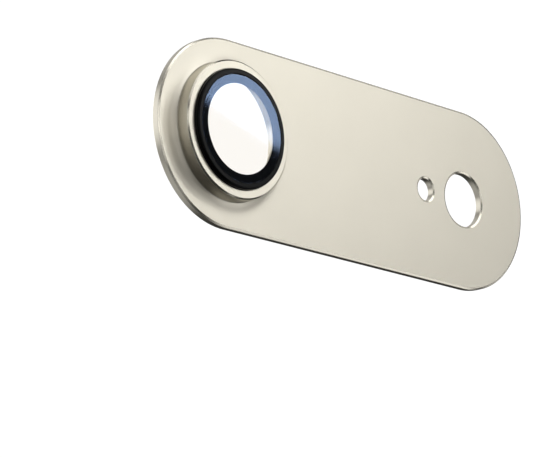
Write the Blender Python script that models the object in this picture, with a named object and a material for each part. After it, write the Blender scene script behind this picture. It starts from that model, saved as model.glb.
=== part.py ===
"""Stick-on lens cover for the raised camera area of a phone.

Frame: metres, +Z up, the cover stands on its long edge as it does on an upright phone.
+X runs along the plate from the lens end to the light end, and the plate's front faces -Y.
The origin is the middle of the adhesive face, which is the face that meets the phone.

Every piece is modelled flat, with its local +Z as the stacking direction from the phone
outwards, and one empty turns the stack upright.
"""
import math

import bmesh
import bpy

MM = 0.001

# Plate
PLATE_LENGTH = 69.8 * MM
PLATE_HEIGHT = 24.8 * MM
PLATE_THICKNESS = 1.0 * MM
PLATE_FRONT_CHAMFER = 0.15 * MM
PLATE_BACK_CHAMFER = 0.10 * MM
END_RADIUS = PLATE_HEIGHT / 2
END_X = PLATE_LENGTH / 2 - END_RADIUS

# Adhesive film on the back
PAD_THICKNESS = 0.20 * MM
PAD_INSET = 0.35 * MM
PAD_HOLE_MARGIN = 0.30 * MM

# Gap between stacked layers and between a ring and its seat
LAYER_GAP = 0.02 * MM
SEAT_GAP = 0.04 * MM
SEAM_GAP = 0.06 * MM

# Holes at the light end
SOUND_HOLE_X = 15.00 * MM
SOUND_HOLE_RADIUS = 1.53 * MM
LIGHT_HOLE_X = 22.70 * MM
LIGHT_HOLE_RADIUS = 3.70 * MM
HOLE_CHAMFER = 0.24 * MM

# Collar, set a little further out than the centre of the round lens end
LENS_X = -END_X - 0.40 * MM
COLLAR_RISE = 2.20 * MM
COLLAR_TOP_RADIUS = 9.00 * MM
COLLAR_FOOT_RADIUS = 9.05 * MM
COLLAR_CHAMFER = 0.12 * MM
COLLAR_BORE = 8.35 * MM
COLLAR_WEB = 0.35 * MM
COLLAR_RECESS = 0.45 * MM
FLANGE_RADIUS = 10.10 * MM
FLANGE_THICKNESS = 0.40 * MM
BOND_THICKNESS = 0.06 * MM

# Cove that draws the plate up to the collar's foot, steeper towards the collar
COVE_WIDTH = 2.10 * MM
COVE_RISE = 0.30 * MM
COVE_POWER = 3
COVE_STEPS = 8

# Bezel and glass
BEZEL_RADIUS = 7.80 * MM
BEZEL_SHOULDER = 0.30 * MM
BEZEL_RISE = 0.58 * MM
BEZEL_LIP = 0.48 * MM
WINDOW_RADIUS = 6.40 * MM
GLASS_RADIUS = 7.03 * MM
GLASS_THICKNESS = 0.30 * MM
GLASS_DROP = 0.02 * MM
GLASS_CHAMFER = 0.05 * MM
MASK_THICKNESS = 0.04 * MM
MASK_APERTURE = 5.87 * MM

# Levels of the stack, measured outwards from the phone
PLATE_BACK = PAD_THICKNESS + LAYER_GAP
PLATE_FRONT = PLATE_BACK + PLATE_THICKNESS
FLANGE_FRONT = PLATE_BACK + FLANGE_THICKNESS
BOND_BACK = FLANGE_FRONT + LAYER_GAP
BOND_FRONT = BOND_BACK + BOND_THICKNESS
COUNTERBORE_FLOOR = BOND_FRONT + LAYER_GAP
COUNTERBORE_RADIUS = FLANGE_RADIUS + SEAT_GAP
COLLAR_FRONT = PLATE_FRONT + COLLAR_RISE
SEAT = COLLAR_FRONT - COLLAR_RECESS
BEZEL_BACK = SEAT + LAYER_GAP
BEZEL_FRONT = COLLAR_FRONT + BEZEL_RISE
LIP_FRONT = BEZEL_BACK + BEZEL_LIP
GLASS_FRONT = BEZEL_FRONT - GLASS_DROP
GLASS_BACK = GLASS_FRONT - GLASS_THICKNESS
MASK_FRONT = GLASS_BACK - LAYER_GAP
MASK_BACK = MASK_FRONT - MASK_THICKNESS
FILM_BACK = LIP_FRONT + LAYER_GAP
FILM_FRONT = MASK_BACK - LAYER_GAP

# Facets on a full turn
ROUND_STEPS = 72
LIGHT_HOLE_STEPS = 48
SOUND_HOLE_STEPS = 32
SHOULDER_STEPS = 4


def circle(x, radius, steps):
    """Points of a circle about (x, 0), starting on +X."""
    turns = [2 * math.pi * i / steps for i in range(steps)]
    return [(x + radius * math.cos(a), radius * math.sin(a)) for a in turns]


def pill(radius, steps):
    """Points of a pill outline whose round ends share the plate's end centres."""
    half = steps // 2
    right = [-math.pi / 2 + math.pi * i / half for i in range(half + 1)]
    points = [(END_X + radius * math.cos(a), radius * math.sin(a)) for a in right]
    return points + [(-x, -y) for x, y in points]


def neighbours(loop):
    """Each vertex of a closed loop with the one after it."""
    return zip(loop, loop[1:] + loop[:1])


def add_loop(bm, points, level):
    """A closed loop of vertices at one level."""
    return [bm.verts.new((x, y, level)) for x, y in points]


def join_loops(bm, loops):
    """Walls between each loop and the next one."""
    for low, high in zip(loops, loops[1:]):
        for (a, b), (c, d) in zip(neighbours(low), neighbours(high)):
            bm.faces.new((a, b, d, c))


def fill_flat(bm, loops):
    """One flat face inside the first loop, with the other loops as its holes."""
    edges = [bm.edges.get(pair) for loop in loops for pair in neighbours(loop)]
    bmesh.ops.triangle_fill(bm, edges=edges, use_beauty=True)


def close_body(bm):
    bmesh.ops.recalc_face_normals(bm, faces=bm.faces)


def finish(bm, name, stack, material, x=0.0):
    """Turn the mesh into a named object on the stack, shaded smooth."""
    mesh = bpy.data.meshes.new(name)
    bm.to_mesh(mesh)
    bm.free()
    mesh.shade_smooth()
    mesh.set_sharp_from_angle(angle=math.radians(20))
    mesh.materials.append(material)
    piece = bpy.data.objects.new(name, mesh)
    piece.parent = stack
    piece.location = (x, 0, 0)
    bpy.context.scene.collection.objects.link(piece)
    return piece


def turned(name, stack, material, profile):
    """A ring turned from a closed profile of (radius, level) points about the lens axis."""
    bm = bmesh.new()
    verts = [bm.verts.new((radius, 0, level)) for radius, level in profile]
    edges = [bm.edges.new((a, b)) for a, b in zip(verts, verts[1:] + verts[:1])]
    bmesh.ops.spin(bm, geom=verts + edges, cent=(0, 0, 0), axis=(0, 0, 1),
                   angle=2 * math.pi, steps=ROUND_STEPS, use_merge=True)
    close_body(bm)
    return finish(bm, name, stack, material, LENS_X)


def quarter_round(radius, level, size, steps):
    """Profile points of a convex quarter round that rises from a wall to a flat top."""
    angles = [math.pi / 2 * i / steps for i in range(steps + 1)]
    return [(radius - size + size * math.cos(a), level - size + size * math.sin(a)) for a in angles]


def make_material(name, colour, metallic, roughness, alpha=1.0):
    material = bpy.data.materials.new(name)
    material.use_nodes = True
    shader = material.node_tree.nodes["Principled BSDF"]
    shader.inputs["Base Color"].default_value = (*colour, 1.0)
    shader.inputs["Metallic"].default_value = metallic
    shader.inputs["Roughness"].default_value = roughness
    shader.inputs["Alpha"].default_value = alpha
    material.diffuse_color = (*colour, alpha)
    return material


def chamfered_hole(bm, x, radius, steps):
    """Loops of a plain hole through the plate with a chamfer at its front."""
    wide = circle(x, radius + HOLE_CHAMFER, steps)
    plain = circle(x, radius, steps)
    loops = [
        add_loop(bm, plain, PLATE_BACK),
        add_loop(bm, plain, PLATE_FRONT - HOLE_CHAMFER),
        add_loop(bm, wide, PLATE_FRONT),
    ]
    join_loops(bm, loops)
    return loops[0], loops[-1]


def collar_hole(bm):
    """Loops of the lens hole: counterbore at the back, and a cove that rises to the collar at the front."""
    lip = COLLAR_FOOT_RADIUS + SEAM_GAP
    sizes = [
        (COUNTERBORE_RADIUS, PLATE_BACK),
        (COUNTERBORE_RADIUS, COUNTERBORE_FLOOR),
        (lip, COUNTERBORE_FLOOR),
    ]
    for i in range(COVE_STEPS, -1, -1):
        inward = i / COVE_STEPS
        sizes.append((lip + COVE_WIDTH * (1 - inward),
                      PLATE_FRONT + COVE_RISE * inward ** COVE_POWER))
    loops = [add_loop(bm, circle(LENS_X, radius, ROUND_STEPS), level) for radius, level in sizes]
    join_loops(bm, loops)
    return loops[0], loops[-1]


def make_cover_plate(stack, material):
    bm = bmesh.new()
    outline = [
        (END_RADIUS - PLATE_BACK_CHAMFER, PLATE_BACK),
        (END_RADIUS, PLATE_BACK + PLATE_BACK_CHAMFER),
        (END_RADIUS, PLATE_FRONT - PLATE_FRONT_CHAMFER),
        (END_RADIUS - PLATE_FRONT_CHAMFER, PLATE_FRONT),
    ]
    rim = [add_loop(bm, pill(radius, ROUND_STEPS), level) for radius, level in outline]
    join_loops(bm, rim)
    ends = [
        (rim[0], rim[-1]),
        collar_hole(bm),
        chamfered_hole(bm, SOUND_HOLE_X, SOUND_HOLE_RADIUS, SOUND_HOLE_STEPS),
        chamfered_hole(bm, LIGHT_HOLE_X, LIGHT_HOLE_RADIUS, LIGHT_HOLE_STEPS),
    ]
    for side in (0, 1):
        fill_flat(bm, [pair[side] for pair in ends])
    close_body(bm)
    return finish(bm, "cover_plate", stack, material)


def make_adhesive_pad(stack, material):
    """Film with a hole under the collar and one under each plate hole."""
    bm = bmesh.new()
    outlines = [
        pill(END_RADIUS - PAD_INSET, ROUND_STEPS),
        circle(LENS_X, COLLAR_BORE + PAD_HOLE_MARGIN, ROUND_STEPS),
        circle(SOUND_HOLE_X, SOUND_HOLE_RADIUS + PAD_HOLE_MARGIN, SOUND_HOLE_STEPS),
        circle(LIGHT_HOLE_X, LIGHT_HOLE_RADIUS + PAD_HOLE_MARGIN, LIGHT_HOLE_STEPS),
    ]
    backs = []
    fronts = []
    for outline in outlines:
        backs.append(add_loop(bm, outline, 0.0))
        fronts.append(add_loop(bm, outline, PAD_THICKNESS))
        join_loops(bm, [backs[-1], fronts[-1]])
    fill_flat(bm, backs)
    fill_flat(bm, fronts)
    close_body(bm)
    return finish(bm, "adhesive_pad", stack, material)


def make_lens_collar(stack, material):
    """Foot flange behind the plate, drafted wall, and a front web with a recess for the bezel."""
    recess = BEZEL_RADIUS + SEAT_GAP
    profile = [
        (COLLAR_BORE, PLATE_BACK),
        (FLANGE_RADIUS, PLATE_BACK),
        (FLANGE_RADIUS, FLANGE_FRONT),
        (COLLAR_FOOT_RADIUS, FLANGE_FRONT),
        (COLLAR_FOOT_RADIUS, PLATE_FRONT),
        (COLLAR_TOP_RADIUS, COLLAR_FRONT - COLLAR_CHAMFER),
        (COLLAR_TOP_RADIUS - COLLAR_CHAMFER, COLLAR_FRONT),
        (recess, COLLAR_FRONT),
        (recess, SEAT),
        (WINDOW_RADIUS, SEAT),
        (WINDOW_RADIUS, SEAT - COLLAR_WEB),
        (COLLAR_BORE, SEAT - COLLAR_WEB),
    ]
    return turned("lens_collar", stack, material, profile)


def make_collar_bond(stack, material):
    inner = COLLAR_FOOT_RADIUS + SEAM_GAP
    profile = [
        (inner, BOND_BACK),
        (FLANGE_RADIUS, BOND_BACK),
        (FLANGE_RADIUS, BOND_FRONT),
        (inner, BOND_FRONT),
    ]
    return turned("collar_bond", stack, material, profile)


def make_glass_bezel(stack, material):
    """Black ring with a rounded shoulder, a pocket for the glass and a lip under it."""
    pocket = GLASS_RADIUS + SEAT_GAP
    profile = [(WINDOW_RADIUS, BEZEL_BACK), (BEZEL_RADIUS, BEZEL_BACK)]
    profile += quarter_round(BEZEL_RADIUS, BEZEL_FRONT, BEZEL_SHOULDER, SHOULDER_STEPS)
    profile += [(pocket, BEZEL_FRONT), (pocket, LIP_FRONT), (WINDOW_RADIUS, LIP_FRONT)]
    return turned("glass_bezel", stack, material, profile)


def make_lens_glass(stack, material):
    """Flat disc with a fine chamfer round its front edge."""
    bm = bmesh.new()
    sizes = [
        (GLASS_RADIUS, GLASS_BACK),
        (GLASS_RADIUS, GLASS_FRONT - GLASS_CHAMFER),
        (GLASS_RADIUS - GLASS_CHAMFER, GLASS_FRONT),
    ]
    loops = [add_loop(bm, circle(0.0, radius, ROUND_STEPS), level) for radius, level in sizes]
    join_loops(bm, loops)
    bm.faces.new(loops[0])
    bm.faces.new(loops[-1])
    close_body(bm)
    return finish(bm, "lens_glass", stack, material, LENS_X)


def make_glass_mask(stack, material):
    profile = [
        (MASK_APERTURE, MASK_BACK),
        (GLASS_RADIUS, MASK_BACK),
        (GLASS_RADIUS, MASK_FRONT),
        (MASK_APERTURE, MASK_FRONT),
    ]
    return turned("glass_mask", stack, material, profile)


def make_glass_adhesive(stack, material):
    profile = [
        (WINDOW_RADIUS, FILM_BACK),
        (GLASS_RADIUS, FILM_BACK),
        (GLASS_RADIUS, FILM_FRONT),
        (WINDOW_RADIUS, FILM_FRONT),
    ]
    return turned("glass_adhesive", stack, material, profile)


def main():
    for old in list(bpy.data.objects):
        bpy.data.objects.remove(old, do_unlink=True)

    stack = bpy.data.objects.new("stack", None)
    stack.rotation_euler = (math.pi / 2, 0, 0)
    bpy.context.scene.collection.objects.link(stack)

    champagne = (0.76, 0.72, 0.64)
    plate_metal = make_material("champagne_blasted_aluminium", champagne, 1.0, 0.38)
    collar_metal = make_material("champagne_turned_aluminium", champagne, 1.0, 0.30)
    black_metal = make_material("black_anodised_aluminium", (0.012, 0.012, 0.012), 0.6, 0.25)
    glass = make_material("clear_coated_glass", (0.93, 0.96, 1.0), 0.0, 0.03, alpha=0.3)
    ink = make_material("black_ink", (0.008, 0.009, 0.012), 0.0, 0.2)
    clear_film = make_material("clear_bond_film", (0.55, 0.55, 0.52), 0.0, 0.4)
    pad_film = make_material("grey_adhesive_film", (0.30, 0.30, 0.30), 0.0, 0.6)

    make_adhesive_pad(stack, pad_film)
    make_cover_plate(stack, plate_metal)
    make_lens_collar(stack, collar_metal)
    make_collar_bond(stack, clear_film)
    make_glass_bezel(stack, black_metal)
    make_glass_adhesive(stack, clear_film)
    make_glass_mask(stack, ink)
    make_lens_glass(stack, glass)


main()
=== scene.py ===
"""Stick-on lens cover for a phone: finished surfaces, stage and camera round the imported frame."""
import math

import bmesh
import bpy
from bpy.props import FloatProperty, FloatVectorProperty, IntProperty, PointerProperty
from mathutils import Matrix, Vector


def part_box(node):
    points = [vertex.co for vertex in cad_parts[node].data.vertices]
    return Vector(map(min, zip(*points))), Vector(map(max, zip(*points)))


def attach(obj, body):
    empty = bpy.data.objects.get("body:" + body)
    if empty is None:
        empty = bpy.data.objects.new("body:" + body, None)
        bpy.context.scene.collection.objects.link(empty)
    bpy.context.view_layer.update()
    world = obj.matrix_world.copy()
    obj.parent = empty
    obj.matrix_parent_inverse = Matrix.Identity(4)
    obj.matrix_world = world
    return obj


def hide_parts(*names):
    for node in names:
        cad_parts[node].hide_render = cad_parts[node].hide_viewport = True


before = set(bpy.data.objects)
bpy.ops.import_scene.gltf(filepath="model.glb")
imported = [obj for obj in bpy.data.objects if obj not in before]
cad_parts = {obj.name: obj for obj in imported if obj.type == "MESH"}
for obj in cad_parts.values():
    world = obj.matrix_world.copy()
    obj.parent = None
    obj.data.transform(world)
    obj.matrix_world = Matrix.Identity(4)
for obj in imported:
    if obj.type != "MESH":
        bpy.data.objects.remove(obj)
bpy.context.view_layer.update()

bl_info = {
    "name": "Lens Cover",
    "version": (1, 0, 0),
    "blender": (4, 5, 0),
    "location": "View3D > Sidebar > Lens Cover",
    "description": "Builds a stick-on camera lens cover for a phone, with its stage",
    "category": "Object",
}

MM = 0.001

# The stack is modelled flat, with +Z outwards from the phone, and then stood up to face -Y.
STAND_UP = Matrix.Rotation(math.pi / 2, 4, "X")


def levels(node):
    """How far a CAD node's back and front stand out from the phone."""
    low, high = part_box(node)
    return -high.y, -low.y


def width(node):
    """A CAD node's size along the plate."""
    low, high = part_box(node)
    return high.x - low.x


def height(node):
    """A CAD node's size across the plate."""
    low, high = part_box(node)
    return high.z - low.z


def middle_x(node):
    """Where a CAD node's middle lies along the plate."""
    low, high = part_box(node)
    return (low.x + high.x) / 2


def linear(code):
    """An sRGB hex colour as linear red, green and blue."""
    parts = [int(code[i:i + 2], 16) / 255 for i in (0, 2, 4)]
    return tuple(p / 12.92 if p <= 0.04045 else ((p + 0.055) / 1.055) ** 2.4 for p in parts)


def length_prop(name, description, default):
    return FloatProperty(name=name, description=description, default=default, min=0.0,
                         precision=5, subtype="DISTANCE", unit="LENGTH")


def colour_prop(name, description, code):
    return FloatVectorProperty(name=name, description=description, default=linear(code),
                               min=0.0, max=1.0, size=3, subtype="COLOR")


class LensCoverSizes(bpy.types.PropertyGroup):
    """Sizes that set the shape of each piece"""
    plate_length: length_prop("Plate length", "End to end along the plate", width("cover_plate"))
    plate_height: length_prop("Plate height", "Across the plate", height("cover_plate"))
    plate_thickness: length_prop("Plate thickness", "Thickness of the flat sheet", 1.0 * MM)
    edge_chamfer: length_prop("Edge chamfer", "Width of the chamfer round the plate", 0.25 * MM)
    hole_chamfer: length_prop("Hole chamfer", "Width of the chamfer round the plain holes", 0.26 * MM)
    chamfer_depth: length_prop("Chamfer depth", "Depth of all the plate's chamfers", 0.13 * MM)
    sound_hole_x: length_prop("Sound hole place", "From the plate's middle", 15.00 * MM)
    sound_hole: length_prop("Sound hole radius", "Radius of the small hole", 1.53 * MM)
    light_hole_x: length_prop("Light hole place", "From the plate's middle", 22.70 * MM)
    light_hole: length_prop("Light hole radius", "Radius of the large plain hole", 3.70 * MM)
    cove_width: length_prop("Cove width", "Width of the cove round the collar", 2.10 * MM)
    cove_rise: length_prop("Cove rise", "Height of the cove where it meets the collar", 0.30 * MM)
    collar_top: length_prop("Collar radius", "Outer radius at the collar's front", 9.00 * MM)
    collar_foot: length_prop("Collar foot radius", "Outer radius at the collar's foot", 9.05 * MM)
    collar_bore: length_prop("Collar bore", "Inner radius that clears the camera ring", 8.35 * MM)
    seam: length_prop("Seam", "Gap between the plate and the collar's foot", 0.03 * MM)
    window: length_prop("Window radius", "Opening in the collar and bezel behind the glass", 6.40 * MM)
    glass_radius: length_prop("Glass radius", "Radius of the glass disc", width("lens_glass") / 2)
    mask_aperture: length_prop("Clear aperture", "Radius of the clear middle of the glass", 5.87 * MM)
    turns: IntProperty(name="Steps", description="Facets round a full turn", default=256, min=32)


class LensCoverColours(bpy.types.PropertyGroup):
    """Colours of the pieces and of the floor"""
    metal: colour_prop("Anodised metal", "Champagne dye of the plate and collar", "DDD8CA")
    black_ring: colour_prop("Bezel", "Black dye of the bezel", "070707")
    ink: colour_prop("Ink", "Printed border under the glass", "07080A")
    coating: colour_prop("Coating", "Tint of the coating's reflection", "8ABCFF")
    film: colour_prop("Adhesive film", "Film on the back", "C9C8C4")
    bond: colour_prop("Bond", "Clear bond lines", "B9B8B0")
    floor: colour_prop("Floor", "Plain studio floor", "F4F3F0")


# ---------------------------------------------------------------- shaping

# Rounded corners are cut in steps this long, so every wider strip is a flat or turned face.
ROUNDING_STEP = 0.03 * MM
ROUNDING_LEAST = 4
FLAT_STRIP = 0.09 * MM
# Flat faces end in a narrow strip round each rim, which keeps their shading flat.
RIM_STRIP = 0.10 * MM
LEVEL_MATCH = 0.001 * MM
# Below the first angle an edge is shaded smooth, and above the second one it is a hard corner.
SMOOTH_ANGLE = 4
CORNER_ANGLE = 40
# Play round a piece that sits in a recess, and behind it
SIDE_GAP = 0.04 * MM
SEAT_GAP = 0.02 * MM
# Rounding of edges left almost sharp, and of edges that were broken
CUT_EDGE = 0.02 * MM
BROKEN_EDGE = 0.03 * MM


def profile_wire(bm, corners, closed):
    """A wire through (radius, level, rounding) corners in the XZ plane, with its corners rounded."""
    verts = [bm.verts.new((radius, 0.0, level)) for radius, level, _ in corners]
    pairs = list(zip(verts, verts[1:]))
    if closed:
        pairs.append((verts[-1], verts[0]))
    for pair in pairs:
        bm.edges.new(pair)
    for vert, (_, _, rounding) in zip(verts, corners):
        if rounding:
            segments = max(ROUNDING_LEAST, math.ceil(rounding / ROUNDING_STEP))
            bmesh.ops.bevel(bm, geom=[vert], offset=rounding, offset_type="OFFSET", segments=segments,
                            profile=0.5, affect="VERTICES", material=-1)


def spin_profile(bm, corners, steps, closed=True, x=0.0, stretch=0.0):
    """Turns a profile about an axis through x, and pulls its halves apart by stretch each way."""
    part = bmesh.new()
    profile_wire(part, corners, closed)
    # Half a step's turn keeps every vertex off the line where the halves part.
    half_step = Matrix.Rotation(math.pi / steps, 4, "Z")
    bmesh.ops.transform(part, matrix=half_step, verts=part.verts)
    bmesh.ops.spin(part, geom=part.verts[:] + part.edges[:], cent=(0, 0, 0), axis=(0, 0, 1),
                   angle=2 * math.pi, steps=steps, use_merge=True)
    for vert in part.verts:
        vert.co.x += x + math.copysign(stretch, vert.co.x)
    mesh = bpy.data.meshes.new("part")
    part.to_mesh(mesh)
    part.free()
    bm.from_mesh(mesh)
    bpy.data.meshes.remove(mesh)


def fill_caps(bm, *cap_levels):
    """Fills the flat faces that the open rims leave at each level."""
    for level in cap_levels:
        rims = [edge for edge in bm.edges
                if edge.is_boundary and all(abs(v.co.z - level) < LEVEL_MATCH for v in edge.verts)]
        bmesh.ops.triangle_fill(bm, edges=rims, use_beauty=True)


def crease_edges(bm):
    """Shades smooth, with a crease at each hard corner and beside each flat or turned face."""
    for face in bm.faces:
        face.smooth = True
    for edge in bm.edges:
        angle = math.degrees(edge.calc_face_angle(0.0))
        strip = max(face.calc_area() for face in edge.link_faces) / edge.calc_length()
        edge.smooth = angle < SMOOTH_ANGLE or (angle < CORNER_ANGLE and strip < FLAT_STRIP)


def finish_piece(bm, name, materials, nodes, x=0.0):
    """Stands the shape up in its place and makes it a piece that stands for its CAD nodes."""
    bmesh.ops.recalc_face_normals(bm, faces=bm.faces)
    crease_edges(bm)
    bmesh.ops.translate(bm, vec=(x, 0, 0), verts=bm.verts)
    bmesh.ops.transform(bm, matrix=STAND_UP, verts=bm.verts)
    mesh = bpy.data.meshes.new(name)
    bm.to_mesh(mesh)
    bm.free()
    for material in materials:
        mesh.materials.append(material)
    piece = bpy.data.objects.new(name, mesh)
    bpy.context.scene.collection.objects.link(piece)
    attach(piece, "root")
    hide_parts(*nodes)
    return piece


# ---------------------------------------------------------------- materials

def set_inputs(node, **inputs):
    """Sets or links a node's inputs. inN names input number N, where several share a name."""
    for key, value in inputs.items():
        place = int(key[2:]) if key[2:].isdigit() else key.replace("_", " ")
        if isinstance(value, bpy.types.NodeSocket):
            node.id_data.links.new(value, node.inputs[place])
        else:
            node.inputs[place].default_value = value


def add_node(tree, kind, settings=(), **inputs):
    """Adds a node, sets its properties, and sets or links its inputs."""
    node = tree.nodes.new(kind)
    for key, value in dict(settings).items():
        setattr(node, key, value)
    set_inputs(node, **inputs)
    return node


def new_material(name):
    """A material with an empty tree, its shader and its Object coordinates."""
    material = bpy.data.materials.new(name)
    material.use_nodes = True
    tree = material.node_tree
    tree.nodes.clear()
    shader = add_node(tree, "ShaderNodeBsdfPrincipled")
    add_node(tree, "ShaderNodeOutputMaterial", Surface=shader.outputs[0])
    place = add_node(tree, "ShaderNodeTexCoord").outputs["Object"]
    return material, tree, shader, place


# Sizes of the patterns as they are drawn, in millimetres
PLATE_CLOUD_MM = 9.0
RING_CLOUD_MM = 5.0
DYE_SPECK_MM = 0.25
GLASS_HAZE_MM = 3.0
INK_GRAIN_MM = 0.15
ROLLER_MARK_MM = 25.0
VELVET_PILE_MM = 0.8
FILM_RIPPLE_MM = 0.01


def per_mm(size_mm):
    """Noise scale for features of a size in millimetres."""
    return 1 / (size_mm * MM)


def rings_scale(pitch_mm):
    """Wave scale for rings of a pitch in millimetres: one period is pi / 10 units."""
    return math.pi / 10 * per_mm(pitch_mm)


def opaque(colour):
    """A linear colour with an alpha of one, as a shader's inputs take it."""
    return (*colour, 1.0)


def shade(colour, factor):
    """A linear colour made lighter or darker, with an alpha of one."""
    return opaque([min(1.0, c * factor) for c in colour])


def anodised_aluminium(name, colour, roughness, grain_mm, grain_depth_mm):
    """Aluminium, bead blasted and then dyed: a soft, even sheen with a very fine grain."""
    # The grain of real bead blasting is about 0.03 mm, too fine to show, so it is drawn coarser.
    # It gives the eye a satin surface whose reflections are all blurred alike. The dye takes a
    # little unevenly, in slow clouds some millimetres across.
    material, tree, shader, place = new_material(name)
    grain = add_node(tree, "ShaderNodeTexNoise", Vector=place, Scale=per_mm(grain_mm), Detail=3.0,
                     Roughness=0.6)
    cloud = add_node(tree, "ShaderNodeTexNoise", Vector=place, Scale=per_mm(PLATE_CLOUD_MM), Detail=2.0)
    tone = add_node(tree, "ShaderNodeMix", {"data_type": "RGBA"}, in0=cloud.outputs[0],
                    in6=shade(colour, 0.97), in7=shade(colour, 1.03))
    sheen = add_node(tree, "ShaderNodeMapRange", Value=grain.outputs[0], To_Min=roughness - 0.03,
                     To_Max=roughness + 0.03)
    bump = add_node(tree, "ShaderNodeBump", Height=grain.outputs[0], Distance=grain_depth_mm * MM,
                    Strength=1.0)
    set_inputs(shader, Base_Color=tone.outputs[2], Roughness=sheen.outputs[0],
               Normal=bump.outputs[0], Metallic=1.0)
    return material


def diamond_cut_aluminium(name, colour):
    """The same aluminium where a diamond tool cut the chamfers after blasting."""
    # The cut is brighter and smoother than the faces beside it, so it shows as a fine line. The
    # tool's marks are far finer than a grain of 0.1 mm, so they are drawn coarser too.
    bright = shade(colour, 1.08)[:3]
    return anodised_aluminium(name, bright, roughness=0.20, grain_mm=0.10, grain_depth_mm=0.0002)


def turned_aluminium(name, colour, roughness, axis_x, pitch_mm, groove_mm):
    """The same dyed aluminium, finished on a lathe: faint rings round the lens axis."""
    # Real turning marks are about 0.05 mm apart, too fine to show, so they are drawn coarser.
    # They give the eye a sheen that runs round the collar.
    material, tree, shader, place = new_material(name)
    centred = add_node(tree, "ShaderNodeMapping", Vector=place, Location=(-axis_x, 0, 0))
    rings = add_node(tree, "ShaderNodeTexWave",
                     {"wave_type": "RINGS", "rings_direction": "Y", "wave_profile": "SIN"},
                     Vector=centred.outputs[0], Scale=rings_scale(pitch_mm), Distortion=1.5,
                     Detail=2.0, Detail_Scale=1.5)
    cloud = add_node(tree, "ShaderNodeTexNoise", Vector=place, Scale=per_mm(RING_CLOUD_MM), Detail=2.0)
    tone = add_node(tree, "ShaderNodeMix", {"data_type": "RGBA"}, in0=cloud.outputs[0],
                    in6=shade(colour, 0.97), in7=shade(colour, 1.03))
    sheen = add_node(tree, "ShaderNodeMapRange", Value=rings.outputs["Fac"], To_Min=roughness - 0.03,
                     To_Max=roughness + 0.03)
    bump = add_node(tree, "ShaderNodeBump", Height=rings.outputs["Fac"], Distance=groove_mm * MM,
                    Strength=1.0)
    set_inputs(shader, Base_Color=tone.outputs[2], Roughness=sheen.outputs[0],
               Normal=bump.outputs[0], Metallic=1.0)
    return material


def black_anodised_ring(colour):
    """Aluminium dyed black and sealed: deep black with a smooth half gloss."""
    # The dyed layer hides the metal, so it shades as a dark coat and not as a metal. Faint specks
    # break up the gloss, as fine dust of the dye does on the real ring.
    material, tree, shader, place = new_material("black_anodised_aluminium")
    speck = add_node(tree, "ShaderNodeTexNoise", Vector=place, Scale=per_mm(DYE_SPECK_MM), Detail=3.0)
    tone = add_node(tree, "ShaderNodeMix", {"data_type": "RGBA"}, in0=speck.outputs[0],
                    in6=shade(colour, 0.8), in7=shade(colour, 1.2))
    sheen = add_node(tree, "ShaderNodeMapRange", Value=speck.outputs[0], To_Min=0.17, To_Max=0.23)
    set_inputs(shader, Base_Color=tone.outputs[2], Roughness=sheen.outputs[0],
               Specular_IOR_Level=0.08)
    return material


def coated_glass(tint):
    """Hard clear cover glass with a coating whose reflection is bluish."""
    # Its surface is all but perfect: slow, slight changes soften the edges of what it mirrors.
    material, tree, shader, place = new_material("coated_cover_glass")
    haze = add_node(tree, "ShaderNodeTexNoise", Vector=place, Scale=per_mm(GLASS_HAZE_MM), Detail=3.0)
    sheen = add_node(tree, "ShaderNodeMapRange", Value=haze.outputs[0], To_Min=0.022, To_Max=0.032)
    set_inputs(shader, Base_Color=opaque(linear("FBFAF9")), Roughness=sheen.outputs[0], IOR=1.5,
               Specular_IOR_Level=0.4, Specular_Tint=opaque(tint), Transmission_Weight=1.0)
    return material


def fired_ink(colour):
    """Black ceramic ink fired onto the back of the glass: dense, with a fine screen grain."""
    # The print's real grain is about 0.05 mm, too fine to show, so it is drawn coarser.
    material, tree, shader, place = new_material("fired_black_ink")
    screen = add_node(tree, "ShaderNodeTexNoise", Vector=place, Scale=per_mm(INK_GRAIN_MM), Detail=2.0)
    tone = add_node(tree, "ShaderNodeMix", {"data_type": "RGBA"}, in0=screen.outputs[0],
                    in6=shade(colour, 0.7), in7=shade(colour, 1.3))
    sheen = add_node(tree, "ShaderNodeMapRange", Value=screen.outputs[0], To_Min=0.5, To_Max=0.6)
    set_inputs(shader, Base_Color=tone.outputs[2], Roughness=sheen.outputs[0],
               Specular_IOR_Level=0.02)
    return material


def soft_film(name, colour, roughness, mottle_mm):
    """Acrylic adhesive film: matt, slightly cloudy, with a faint orange-peel surface."""
    # The clouding shows where the film took up more or less air when it was pressed on.
    material, tree, shader, place = new_material(name)
    cloud = add_node(tree, "ShaderNodeTexNoise", Vector=place, Scale=per_mm(mottle_mm), Detail=4.0,
                     Roughness=0.6)
    tone = add_node(tree, "ShaderNodeMix", {"data_type": "RGBA"}, in0=cloud.outputs[0],
                    in6=shade(colour, 0.92), in7=shade(colour, 1.06))
    sheen = add_node(tree, "ShaderNodeMapRange", Value=cloud.outputs[0], To_Min=roughness - 0.08,
                     To_Max=roughness + 0.08)
    bump = add_node(tree, "ShaderNodeBump", Height=cloud.outputs[0], Distance=FILM_RIPPLE_MM * MM,
                    Strength=1.0)
    set_inputs(shader, Base_Color=tone.outputs[2], Roughness=sheen.outputs[0],
               Normal=bump.outputs[0])
    return material


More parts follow.
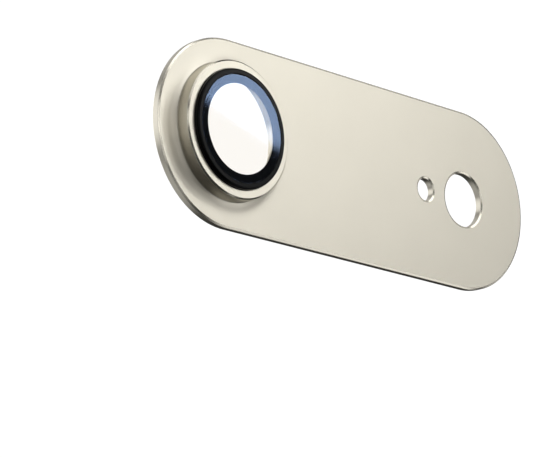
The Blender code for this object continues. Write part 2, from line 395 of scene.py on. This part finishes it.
def floor_paint(colour):
    """Matt studio floor paint with a barely visible roller texture."""
    # A little light of its own keeps the floor pale away from the soft boxes.
    material, tree, shader, place = new_material("matt_floor_paint")
    cloud = add_node(tree, "ShaderNodeTexNoise", Vector=place, Scale=per_mm(ROLLER_MARK_MM),
                     Detail=3.0)
    tone = add_node(tree, "ShaderNodeMix", {"data_type": "RGBA"}, in0=cloud.outputs[0],
                    in6=shade(colour, 0.99), in7=shade(colour, 1.01))
    set_inputs(shader, Base_Color=tone.outputs[2], Roughness=0.9,
               Emission_Color=opaque(colour), Emission_Strength=0.55)
    return material


def flag_cloth():
    """Black velvet on the small card that keeps light off the glass: it sends back nothing."""
    material, tree, shader, place = new_material("black_velvet")
    pile = add_node(tree, "ShaderNodeTexNoise", Vector=place, Scale=per_mm(VELVET_PILE_MM), Detail=2.0)
    tone = add_node(tree, "ShaderNodeMix", {"data_type": "RGBA"}, in0=pile.outputs[0],
                    in6=opaque(linear("030303")), in7=opaque(linear("0A0A0A")))
    set_inputs(shader, Base_Color=tone.outputs[2], Roughness=1.0, Specular_IOR_Level=0.0)
    return material


def graded_diffuser(brightness, edge, fade):
    """White diffuser lit from behind, which fades out across its lower edge."""
    # The glass mirrors it as an even bluish band that ends softly and not in a hard line.
    material, tree, shader, place = new_material("graded_diffuser")
    axes = add_node(tree, "ShaderNodeSeparateXYZ", Vector=place)
    glow = add_node(tree, "ShaderNodeMapRange", {"interpolation_type": "SMOOTHSTEP"},
                    Value=axes.outputs["Y"], From_Min=edge - fade / 2, From_Max=edge + fade / 2,
                    To_Min=0.0, To_Max=brightness)
    set_inputs(shader, Base_Color=opaque(linear("000000")), Specular_IOR_Level=0.0,
               Emission_Color=opaque(linear("FFFFFF")), Emission_Strength=glow.outputs[0])
    return material


# ---------------------------------------------------------------- pieces

# Plate: the cove rises as this power of the way in, so it leaves the plate without a visible
# start.
COVE_STEPS = 16
COVE_POWER = 3
# How far a chamfer's faces point to the front: more than the walls and less than the flat face
CHAMFER_TILT_LOW = 0.3
CHAMFER_TILT_HIGH = 0.97
PLATE_BACK_ROUNDING = 0.08 * MM
HOLE_BACK_ROUNDING = 0.04 * MM

# Collar: a flange behind the plate, a wall with a fine step where it leaves the cove, a chamfered
# front ring, and a web that carries the bezel
FLANGE_THICKNESS = 0.40 * MM
FLANGE_ROUNDING = 0.05 * MM
COLLAR_STEP = 0.03 * MM
STEP_RISE = 0.01 * MM
COLLAR_CHAMFER_WIDTH = 0.20 * MM
COLLAR_CHAMFER_DEPTH = 0.16 * MM
RECESS_EDGE = 0.04 * MM
WEB_THICKNESS = 0.35 * MM
WEB_ROUNDING = 0.05 * MM
BORE_BACK_ROUNDING = 0.08 * MM
BORE_FRONT_ROUNDING = 0.20 * MM

# Bezel's rounded shoulder, the glass's strip inside its rim and its ground edge, and how far the
# film on the back stays clear of the openings
BEZEL_SHOULDER = 0.30 * MM
GLASS_STRIP = 0.30 * MM
GLASS_EDGE = 0.08 * MM
PAD_MARGIN = 0.30 * MM


class LENSCOVER_OT_plate(bpy.types.Operator):
    """Build the pill-shaped plate with its cove, holes and cut chamfers"""
    bl_idname = "lenscover.plate"
    bl_label = "Cover plate"
    bl_options = {"REGISTER", "UNDO"}

    def execute(self, context):
        sizes = context.scene.lens_cover_sizes
        colours = context.scene.lens_cover_colours
        back, _ = levels("cover_plate")
        front = back + sizes.plate_thickness
        lens_x = middle_x("lens_collar")
        # Two half circles of radius end, pulled apart by run each way
        end = sizes.plate_height / 2
        run = sizes.plate_length / 2 - end
        face_edge = end - sizes.edge_chamfer
        chamfer_foot = front - sizes.chamfer_depth
        rim = [
            (face_edge - RIM_STRIP, back, 0),
            (end, back, PLATE_BACK_ROUNDING),
            (end, chamfer_foot, CUT_EDGE),
            (face_edge, front, CUT_EDGE),
            (face_edge - RIM_STRIP, front, 0),
        ]
        bm = bmesh.new()
        spin_profile(bm, rim, sizes.turns, closed=False, stretch=run)

        counterbore = width("lens_collar") / 2 + SIDE_GAP
        _, bond_front = levels("collar_bond")
        floor = bond_front + SEAT_GAP
        lip = sizes.collar_foot + sizes.seam
        hole = [
            (counterbore + RIM_STRIP, back, 0),
            (counterbore, back, CUT_EDGE),
            (counterbore, floor, 0),
            (lip, floor, 0),
            (lip, front + sizes.cove_rise, CUT_EDGE),
        ]
        for i in reversed(range(COVE_STEPS)):
            way_in = i / COVE_STEPS
            rise = sizes.cove_rise * way_in ** COVE_POWER
            hole.append((lip + sizes.cove_width * (1 - way_in), front + rise, 0))
        spin_profile(bm, hole, sizes.turns, closed=False, x=lens_x)

        holes = ((sizes.sound_hole_x, sizes.sound_hole), (sizes.light_hole_x, sizes.light_hole))
        for x, radius in holes:
            wide = radius + sizes.hole_chamfer
            wall = [
                (radius + RIM_STRIP, back, 0),
                (radius, back, HOLE_BACK_ROUNDING),
                (radius, chamfer_foot, CUT_EDGE),
                (wide, front, CUT_EDGE),
                (wide + RIM_STRIP, front, 0),
            ]
            spin_profile(bm, wall, sizes.turns // 2, closed=False, x=x)
        fill_caps(bm, back, front)

        for face in bm.faces:
            centre = face.calc_center_median()
            tilt = abs(face.normal.z)
            in_cove = math.hypot(centre.x - lens_x, centre.y) < lip + sizes.cove_width
            tilted = CHAMFER_TILT_LOW < tilt < CHAMFER_TILT_HIGH
            if centre.z > chamfer_foot and tilted and not in_cove:
                face.material_index = 1
        blasted = anodised_aluminium("bead_blasted_aluminium", colours.metal, roughness=0.36,
                                     grain_mm=0.12, grain_depth_mm=0.0012)
        cut = diamond_cut_aluminium("diamond_cut_plate_aluminium", colours.metal)
        finish_piece(bm, "plate_shell", [blasted, cut], ["cover_plate"])
        return {"FINISHED"}


class LENSCOVER_OT_collar(bpy.types.Operator):
    """Build the turned collar with its flange, wall, front ring and bezel seat"""
    bl_idname = "lenscover.collar"
    bl_label = "Lens collar"
    bl_options = {"REGISTER", "UNDO"}

    def execute(self, context):
        sizes = context.scene.lens_cover_sizes
        colours = context.scene.lens_cover_colours
        back, front = levels("lens_collar")
        bezel_back, _ = levels("glass_bezel")
        plate_back, _ = levels("cover_plate")
        step = plate_back + sizes.plate_thickness + sizes.cove_rise + STEP_RISE
        flange = width("lens_collar") / 2
        flange_front = back + FLANGE_THICKNESS
        face_edge = sizes.collar_top - COLLAR_CHAMFER_WIDTH
        chamfer_foot = front - COLLAR_CHAMFER_DEPTH
        recess = width("glass_bezel") / 2 + SIDE_GAP
        seat = bezel_back - SEAT_GAP
        web_back = seat - WEB_THICKNESS
        profile = [
            (sizes.collar_bore, back, BORE_BACK_ROUNDING),
            (flange, back, FLANGE_ROUNDING),
            (flange, flange_front, FLANGE_ROUNDING),
            (sizes.collar_foot, flange_front, FLANGE_ROUNDING),
            (sizes.collar_foot, step, 0),
            (sizes.collar_foot - COLLAR_STEP, step + COLLAR_STEP, 0),
            (sizes.collar_top, chamfer_foot, CUT_EDGE),
            (face_edge, front, CUT_EDGE),
            (recess, front, RECESS_EDGE),
            (recess, seat, 0),
            (sizes.window, seat, BROKEN_EDGE),
            (sizes.window, web_back, WEB_ROUNDING),
            (sizes.collar_bore, web_back, BORE_FRONT_ROUNDING),
        ]
        bm = bmesh.new()
        spin_profile(bm, profile, sizes.turns)
        for face in bm.faces:
            centre = face.calc_center_median()
            radius = math.hypot(centre.x, centre.y)
            if radius > face_edge and centre.z > chamfer_foot:
                face.material_index = 1
        x = middle_x("lens_collar")
        turned = turned_aluminium("turned_aluminium", colours.metal, roughness=0.34, axis_x=x,
                                  pitch_mm=0.16, groove_mm=0.0006)
        cut = diamond_cut_aluminium("diamond_cut_collar_aluminium", colours.metal)
        finish_piece(bm, "collar_ring", [turned, cut], ["lens_collar"], x)
        return {"FINISHED"}


class LENSCOVER_OT_bezel(bpy.types.Operator):
    """Build the black bezel with its rounded shoulder, glass pocket and lip"""
    bl_idname = "lenscover.bezel"
    bl_label = "Glass bezel"
    bl_options = {"REGISTER", "UNDO"}

    def execute(self, context):
        sizes = context.scene.lens_cover_sizes
        colours = context.scene.lens_cover_colours
        back, front = levels("glass_bezel")
        outer = width("glass_bezel") / 2
        pocket = sizes.glass_radius + SIDE_GAP
        bond_back, _ = levels("glass_adhesive")
        lip = bond_back - SEAT_GAP
        profile = [
            (sizes.window, back, BROKEN_EDGE),
            (outer, back, BROKEN_EDGE),
            (outer, front, BEZEL_SHOULDER),
            (pocket, front, BROKEN_EDGE),
            (pocket, lip, 0),
            (sizes.window, lip, BROKEN_EDGE),
        ]
        bm = bmesh.new()
        spin_profile(bm, profile, sizes.turns)
        ring = black_anodised_ring(colours.black_ring)
        finish_piece(bm, "bezel_ring", [ring], ["glass_bezel"], middle_x("glass_bezel"))
        return {"FINISHED"}


class LENSCOVER_OT_glass(bpy.types.Operator):
    """Build the glass disc with its ground edge, and the printed border and bond ring behind it"""
    bl_idname = "lenscover.glass"
    bl_label = "Glass, mask and bond"
    bl_options = {"REGISTER", "UNDO"}

    def execute(self, context):
        sizes = context.scene.lens_cover_sizes
        colours = context.scene.lens_cover_colours
        back, front = levels("lens_glass")
        x = middle_x("lens_glass")
        edge = sizes.glass_radius
        profile = [
            (edge - GLASS_STRIP, back, 0),
            (edge, back, BROKEN_EDGE),
            (edge, front, GLASS_EDGE),
            (edge - GLASS_STRIP, front, 0),
        ]
        bm = bmesh.new()
        spin_profile(bm, profile, sizes.turns, closed=False)
        fill_caps(bm, back, front)
        glass = coated_glass(colours.coating)
        disc = finish_piece(bm, "glass_disc", [glass], ["lens_glass"], x)
        # Clear glass lets the light through, so the pieces behind it get no shadow from it.
        disc.visible_shadow = False

        ink = fired_ink(colours.ink)
        bond = soft_film("clear_bond_film", colours.bond, roughness=0.3, mottle_mm=0.8)
        rings = (
            ("mask_print", "glass_mask", sizes.mask_aperture, ink),
            ("glass_bond", "glass_adhesive", sizes.window, bond),
        )
        for name, node, inner, material in rings:
            low, high = levels(node)
            outer = width(node) / 2
            bm = bmesh.new()
            corners = [(inner, low, 0), (outer, low, 0), (outer, high, 0), (inner, high, 0)]
            spin_profile(bm, corners, sizes.turns)
            finish_piece(bm, name, [material], [node], x)
        return {"FINISHED"}


class LENSCOVER_OT_films(bpy.types.Operator):
    """Build the adhesive film on the back, and finish the bond ring behind the plate"""
    bl_idname = "lenscover.films"
    bl_label = "Adhesive films"
    bl_options = {"REGISTER", "UNDO"}

    def execute(self, context):
        sizes = context.scene.lens_cover_sizes
        colours = context.scene.lens_cover_colours
        back, front = levels("adhesive_pad")
        end = height("adhesive_pad") / 2
        run = width("adhesive_pad") / 2 - end
        rim = [
            (end - RIM_STRIP, back, 0),
            (end, back, BROKEN_EDGE),
            (end, front, 0),
            (end - RIM_STRIP, front, 0),
        ]
        bm = bmesh.new()
        spin_profile(bm, rim, sizes.turns, closed=False, stretch=run)
        holes = (
            (middle_x("lens_collar"), sizes.collar_bore),
            (sizes.sound_hole_x, sizes.sound_hole),
            (sizes.light_hole_x, sizes.light_hole),
        )
        for x, radius in holes:
            cut = radius + PAD_MARGIN
            wall = [
                (cut + RIM_STRIP, back, 0),
                (cut, back, BROKEN_EDGE),
                (cut, front, 0),
                (cut + RIM_STRIP, front, 0),
            ]
            spin_profile(bm, wall, sizes.turns // 2, closed=False, x=x)
        fill_caps(bm, back, front)
        film = soft_film("acrylic_adhesive_film", colours.film, roughness=0.5, mottle_mm=1.6)
        finish_piece(bm, "pad_film", [film], ["adhesive_pad"])

        bond = soft_film("collar_bond_film", colours.bond, roughness=0.3, mottle_mm=0.8)
        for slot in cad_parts["collar_bond"].material_slots:
            slot.material = bond
        return {"FINISHED"}


# ---------------------------------------------------------------- stage

# Camera: direction and distance from the point it looks at, and its lens in millimetres
CAMERA_AZIMUTH = -45.85
CAMERA_ELEVATION = -14.51
CAMERA_DISTANCE = 423.7 * MM
CAMERA_TARGET = Vector((-14.65, -0.22, -10.83)) * MM
CAMERA_LENS = 224.9
CAMERA_SENSOR = 36.0

FLOOR_DROP = 250 * MM
FLOOR_RADIUS = 1600 * MM
FLOOR_SIDES = 96

# Brightness of the surroundings as they are seen, and of the room that the metal mirrors
WORLD_WHITE = 1.06
WORLD_DIM = 0.04

# Soft boxes: name, azimuth and elevation in degrees, distance, width and height in metres, and
# brightness as radiance
SOFT_BOXES = (
    ("key_high", 25, 42, 0.55, 0.40, 0.26, 1.68),
    ("key_right", 42, 18, 0.55, 0.22, 0.24, 1.55),
    ("key_left", 18, 12, 0.55, 0.26, 0.26, 0.74),
    ("front_left", -18, 15, 0.56, 0.22, 0.18, 1.05),
    ("low_right", 47, -15, 0.55, 0.26, 0.26, 1.05),
    ("front_low", 4, -20, 0.55, 0.20, 0.12, 0.30),
    ("front", -2, 0, 0.60, 0.40, 0.20, 0.60),
    ("left_under", -45, -26, 0.58, 0.30, 0.16, 0.40),
    ("right_side", 82, 0, 0.55, 0.20, 0.30, 0.50),
    ("back", 178, 10, 0.60, 0.50, 0.36, 2.00),
    ("right_high", 78, 46, 0.55, 0.26, 0.20, 0.45),
    ("top", -10, 68, 0.55, 0.45, 0.24, 1.10),
    ("left_high", -35, 44, 0.60, 0.45, 0.24, 0.72),
    ("left_fill", -62, 16, 0.60, 0.30, 0.40, 0.55),
    ("left_card", -42, 14, 0.58, 0.20, 0.18, 0.75),
    ("left_low", -54, -8, 0.58, 0.28, 0.14, 0.90),
    ("back_left", -132, 14, 0.60, 0.50, 0.50, 1.20),
    ("back_low", -155, -36, 0.36, 0.34, 0.24, 0.50),
    ("back_high", 170, 58, 0.60, 0.50, 0.40, 0.60),
    ("back_right", 130, 34, 0.60, 0.36, 0.30, 0.20),
    ("low_front", 62, -56, 0.40, 0.20, 0.16, 0.60),
)

# Card that mirrors in the glass: distance (m), width (m), height (m), roll (deg), brightness
GLASS_CARD_DISTANCE = 0.45
GLASS_CARD_WIDTH = 0.040
GLASS_CARD_HEIGHT = 0.025
GLASS_CARD_ROLL = -34.3
GLASS_CARD_DROP = 1.0 * MM
GLASS_CARD_FADE = 3.0 * MM
GLASS_CARD_BRIGHTNESS = 7.8
FLAG_WIDTH = 0.070
FLAG_HEIGHT = 0.045
FLAG_SETBACK = 1.0 * MM


def direction(azimuth, elevation):
    """Unit vector from the object. Azimuth 0 is in front, and 90 is at the end with plain holes."""
    a = math.radians(azimuth)
    e = math.radians(elevation)
    return Vector((math.sin(a) * math.cos(e), -math.cos(a) * math.cos(e), math.sin(e)))


def add_soft_box(name, facing, distance, wide, high, brightness):
    """A rectangular soft box that faces the object. It lights and mirrors, but isn't seen itself."""
    light = bpy.data.lights.new(name, "AREA")
    light.shape = "RECTANGLE"
    light.size = wide
    light.size_y = high
    light.energy = brightness * wide * high * math.pi
    box = bpy.data.objects.new(name, light)
    turn = facing.to_track_quat("Z", "Y").to_matrix().to_4x4()
    box.matrix_world = Matrix.Translation(facing * distance) @ turn
    box.visible_camera = False
    box.visible_transmission = False
    bpy.context.scene.collection.objects.link(box)


def add_board(name, place, wide, low_edge, high_edge, material):
    """A flat board on the stage that only shows in reflections, between two heights of its place."""
    bm = bmesh.new()
    bmesh.ops.create_grid(bm, size=0.5)
    bmesh.ops.scale(bm, vec=(wide, high_edge - low_edge, 1), verts=bm.verts)
    bmesh.ops.translate(bm, vec=(0, (high_edge + low_edge) / 2, 0), verts=bm.verts)
    mesh = bpy.data.meshes.new(name)
    bm.to_mesh(mesh)
    bm.free()
    mesh.materials.append(material)
    board = bpy.data.objects.new(name, mesh)
    board.matrix_world = place
    board.visible_camera = False
    board.visible_transmission = False
    bpy.context.scene.collection.objects.link(board)


def add_glass_card():
    """A small bright card where the glass mirrors it, its faded lower edge slanting across the
    lens, and a black flag below that keeps the rest of the glass dark."""
    low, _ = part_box("lens_glass")
    lens = Vector((middle_x("lens_glass"), low.y, 0))
    seen = lens - camera_place()
    seen.normalize()
    # The glass faces -Y, so it turns the line of sight back along Y.
    mirrored = Vector((seen.x, -seen.y, seen.z))
    turn = mirrored.to_track_quat("Z", "Y").to_matrix().to_4x4()
    roll = Matrix.Rotation(math.radians(GLASS_CARD_ROLL), 4, "Z")
    place = Matrix.Translation(lens + mirrored * GLASS_CARD_DISTANCE) @ turn @ roll
    card = graded_diffuser(GLASS_CARD_BRIGHTNESS, GLASS_CARD_DROP, GLASS_CARD_FADE)
    add_board("glass_card", place, GLASS_CARD_WIDTH, GLASS_CARD_DROP - GLASS_CARD_FADE / 2,
              GLASS_CARD_HEIGHT, card)
    behind = place @ Matrix.Translation((0, 0, FLAG_SETBACK))
    add_board("flag", behind, FLAG_WIDTH, GLASS_CARD_DROP - FLAG_HEIGHT, GLASS_CARD_DROP, flag_cloth())


def camera_place():
    """Where the camera stands."""
    return CAMERA_TARGET + direction(CAMERA_AZIMUTH, CAMERA_ELEVATION) * CAMERA_DISTANCE


def add_world():
    """White surroundings behind and through the glass, and a dim room for the reflections."""
    world = bpy.data.worlds.new("studio")
    bpy.context.scene.world = world
    world.use_nodes = True
    tree = world.node_tree
    tree.nodes.clear()
    rays = add_node(tree, "ShaderNodeLightPath")
    bounces = add_node(tree, "ShaderNodeMath", {"operation": "ADD"},
                       in0=rays.outputs["Diffuse Depth"], in1=rays.outputs["Glossy Depth"])
    seen = add_node(tree, "ShaderNodeMath", {"operation": "LESS_THAN"}, in0=bounces.outputs[0], in1=0.5)
    paper = opaque(linear("FFFFFF"))
    white = add_node(tree, "ShaderNodeBackground", Color=paper, Strength=WORLD_WHITE)
    dim = add_node(tree, "ShaderNodeBackground", Color=paper, Strength=WORLD_DIM)
    mix = add_node(tree, "ShaderNodeMixShader", in0=seen.outputs[0], in1=dim.outputs[0],
                   in2=white.outputs[0])
    add_node(tree, "ShaderNodeOutputWorld", Surface=mix.outputs[0])


def add_camera():
    """The camera, upright and with a long lens, so the object shows little perspective."""
    data = bpy.data.cameras.new("camera")
    data.lens = CAMERA_LENS
    data.sensor_width = CAMERA_SENSOR
    data.clip_start = 0.01
    data.clip_end = 10.0
    camera = bpy.data.objects.new("camera", data)
    camera.location = camera_place()
    back = direction(CAMERA_AZIMUTH, CAMERA_ELEVATION)
    camera.rotation_euler = back.to_track_quat("Z", "Y").to_euler()
    bpy.context.scene.collection.objects.link(camera)
    bpy.context.scene.camera = camera


class LENSCOVER_OT_stage(bpy.types.Operator):
    """Set up the floor, the soft boxes, the surroundings and the camera"""
    bl_idname = "lenscover.stage"
    bl_label = "Stage"

    def execute(self, context):
        bm = bmesh.new()
        bmesh.ops.create_circle(bm, cap_ends=True, segments=FLOOR_SIDES, radius=FLOOR_RADIUS)
        bmesh.ops.translate(bm, vec=(0, 0, -FLOOR_DROP), verts=bm.verts)
        mesh = bpy.data.meshes.new("floor")
        bm.to_mesh(mesh)
        bm.free()
        mesh.materials.append(floor_paint(context.scene.lens_cover_colours.floor))
        floor = bpy.data.objects.new("floor", mesh)
        # The metal mirrors the soft boxes and the dim room, and not the floor.
        floor.visible_glossy = False
        floor.visible_diffuse = False
        context.scene.collection.objects.link(floor)
        for name, azimuth, elevation, distance, wide, high, brightness in SOFT_BOXES:
            add_soft_box(name, direction(azimuth, elevation), distance, wide, high, brightness)
        add_glass_card()
        add_world()
        add_camera()
        context.scene.view_settings.view_transform = "Standard"
        return {"FINISHED"}


class LENSCOVER_PT_panel(bpy.types.Panel):
    """Sizes, colours and build buttons of the lens cover"""
    bl_idname = "LENSCOVER_PT_panel"
    bl_label = "Lens Cover"
    bl_space_type = "VIEW_3D"
    bl_region_type = "UI"
    bl_category = "Lens Cover"

    def draw(self, context):
        scene = context.scene
        for group in (scene.lens_cover_sizes, scene.lens_cover_colours):
            box = self.layout.box()
            for name in group.__annotations__:
                box.prop(group, name)
        for operator in OPERATORS:
            self.layout.operator(operator.bl_idname)


OPERATORS = (
    LENSCOVER_OT_plate,
    LENSCOVER_OT_collar,
    LENSCOVER_OT_bezel,
    LENSCOVER_OT_glass,
    LENSCOVER_OT_films,
    LENSCOVER_OT_stage,
)
CLASSES = (LensCoverSizes, LensCoverColours, *OPERATORS, LENSCOVER_PT_panel)


def register():
    for cls in CLASSES:
        bpy.utils.register_class(cls)
    bpy.types.Scene.lens_cover_sizes = PointerProperty(type=LensCoverSizes)
    bpy.types.Scene.lens_cover_colours = PointerProperty(type=LensCoverColours)


def unregister():
    del bpy.types.Scene.lens_cover_colours
    del bpy.types.Scene.lens_cover_sizes
    for cls in reversed(CLASSES):
        bpy.utils.unregister_class(cls)


def main():
    register()
    bpy.ops.lenscover.plate()
    bpy.ops.lenscover.collar()
    bpy.ops.lenscover.bezel()
    bpy.ops.lenscover.glass()
    bpy.ops.lenscover.films()
    bpy.ops.lenscover.stage()


if __name__ == "__main__":
    main()
